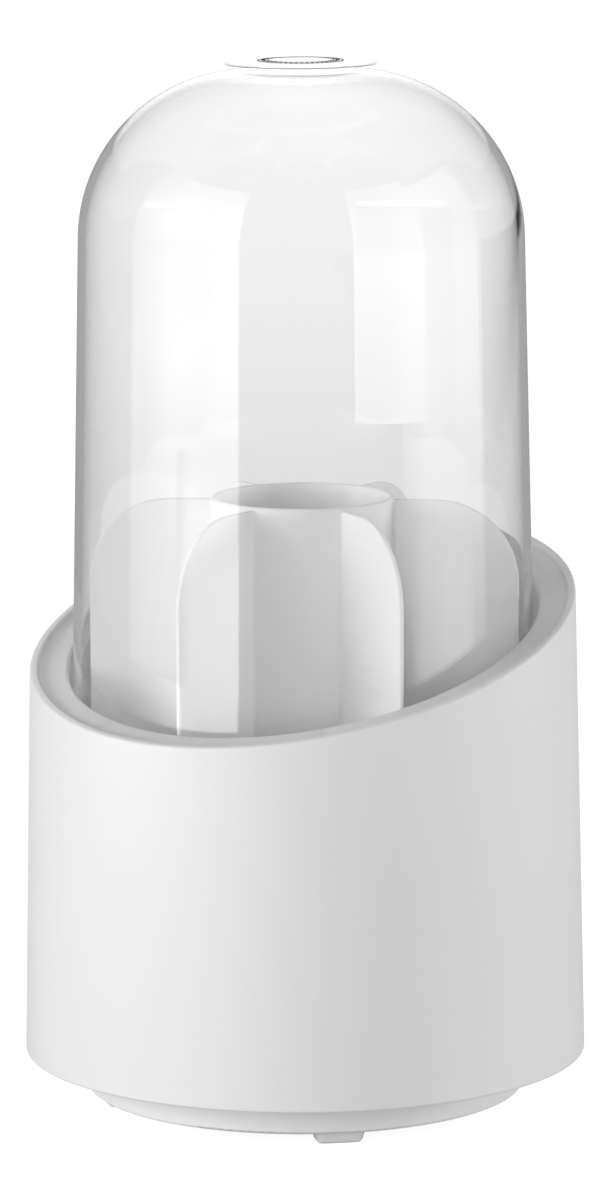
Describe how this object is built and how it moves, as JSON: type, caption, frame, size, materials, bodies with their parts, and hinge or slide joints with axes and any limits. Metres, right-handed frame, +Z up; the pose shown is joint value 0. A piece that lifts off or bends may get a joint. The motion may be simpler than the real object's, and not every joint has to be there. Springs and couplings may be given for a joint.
{
  "type": "makeup organizer",
  "caption": "Rotating tub with a slant-cut rim, a finned lift-out divider and a tall clear dome cover that keeps dust off brushes.",
  "frame": {"origin": "on the table under the middle of the tub, at the bottom centre of the bounding box", "axes": "+Z up along the turning axis; the slanted rim rises towards +Y and is lowest at -Y"},
  "size_m": [0.135, 0.135, 0.2503],
  "materials": {
    "satin_white": "satin moulded white",
    "liner_white": "satin moulded white",
    "divider_white": "semi-gloss moulded white",
    "clear_plastic": "polished and clear",
    "white_plastic": "satin moulded white",
    "cage_plastic": "natural acetal",
    "pad_rubber": "soft, pale grey",
    "bright_steel": "bright zinc-plated"
  },
  "bodies": {
    "foot": {"turntable_foot": "white_plastic", "foot_pad_1": "pad_rubber", "foot_pad_2": "pad_rubber", "foot_pad_3": "pad_rubber", "foot_pad_4": "pad_rubber", "pivot_screw": "bright_steel", "pivot_washer": "bright_steel"},
    "ball_ring": {"ball_cage": "cage_plastic", "ball_01": "bright_steel", "ball_02": "bright_steel", "ball_03": "bright_steel", "ball_04": "bright_steel", "ball_05": "bright_steel", "ball_06": "bright_steel", "ball_07": "bright_steel", "ball_08": "bright_steel", "ball_09": "bright_steel", "ball_10": "bright_steel", "ball_11": "bright_steel", "ball_12": "bright_steel", "ball_13": "bright_steel", "ball_14": "bright_steel", "ball_15": "bright_steel", "ball_16": "bright_steel"},
    "shell": {"outer_shell": "satin_white", "well_liner": "liner_white", "floor_plate": "white_plastic", "floor_screws": "bright_steel"},
    "insert": {"divider_insert": "divider_white"},
    "dome": {"dome_cover": "clear_plastic"}
  },
  "joints": [
    {"name": "shell_spin", "type": "hinge", "parent": "foot", "child": "shell", "pos_m": [0, 0, 0.0152], "axis": [0, 0, 1], "continuous": true},
    {"name": "ball_ring_spin", "type": "hinge", "parent": "foot", "child": "ball_ring", "pos_m": [0, 0, 0.01425], "axis": [0, 0, 1], "continuous": true},
    {"name": "insert_lift", "type": "slide", "parent": "shell", "child": "insert", "axis": [0, 0, 1], "range_m": [0, 0.12]},
    {"name": "dome_lift", "type": "slide", "parent": "insert", "child": "dome", "axis": [0, 0, 1], "range_m": [0, 0.2]}
  ],
  "couplings": [
    {"joint": "ball_ring_spin", "follows": "shell_spin", "ratio": 0.5}
  ]
}
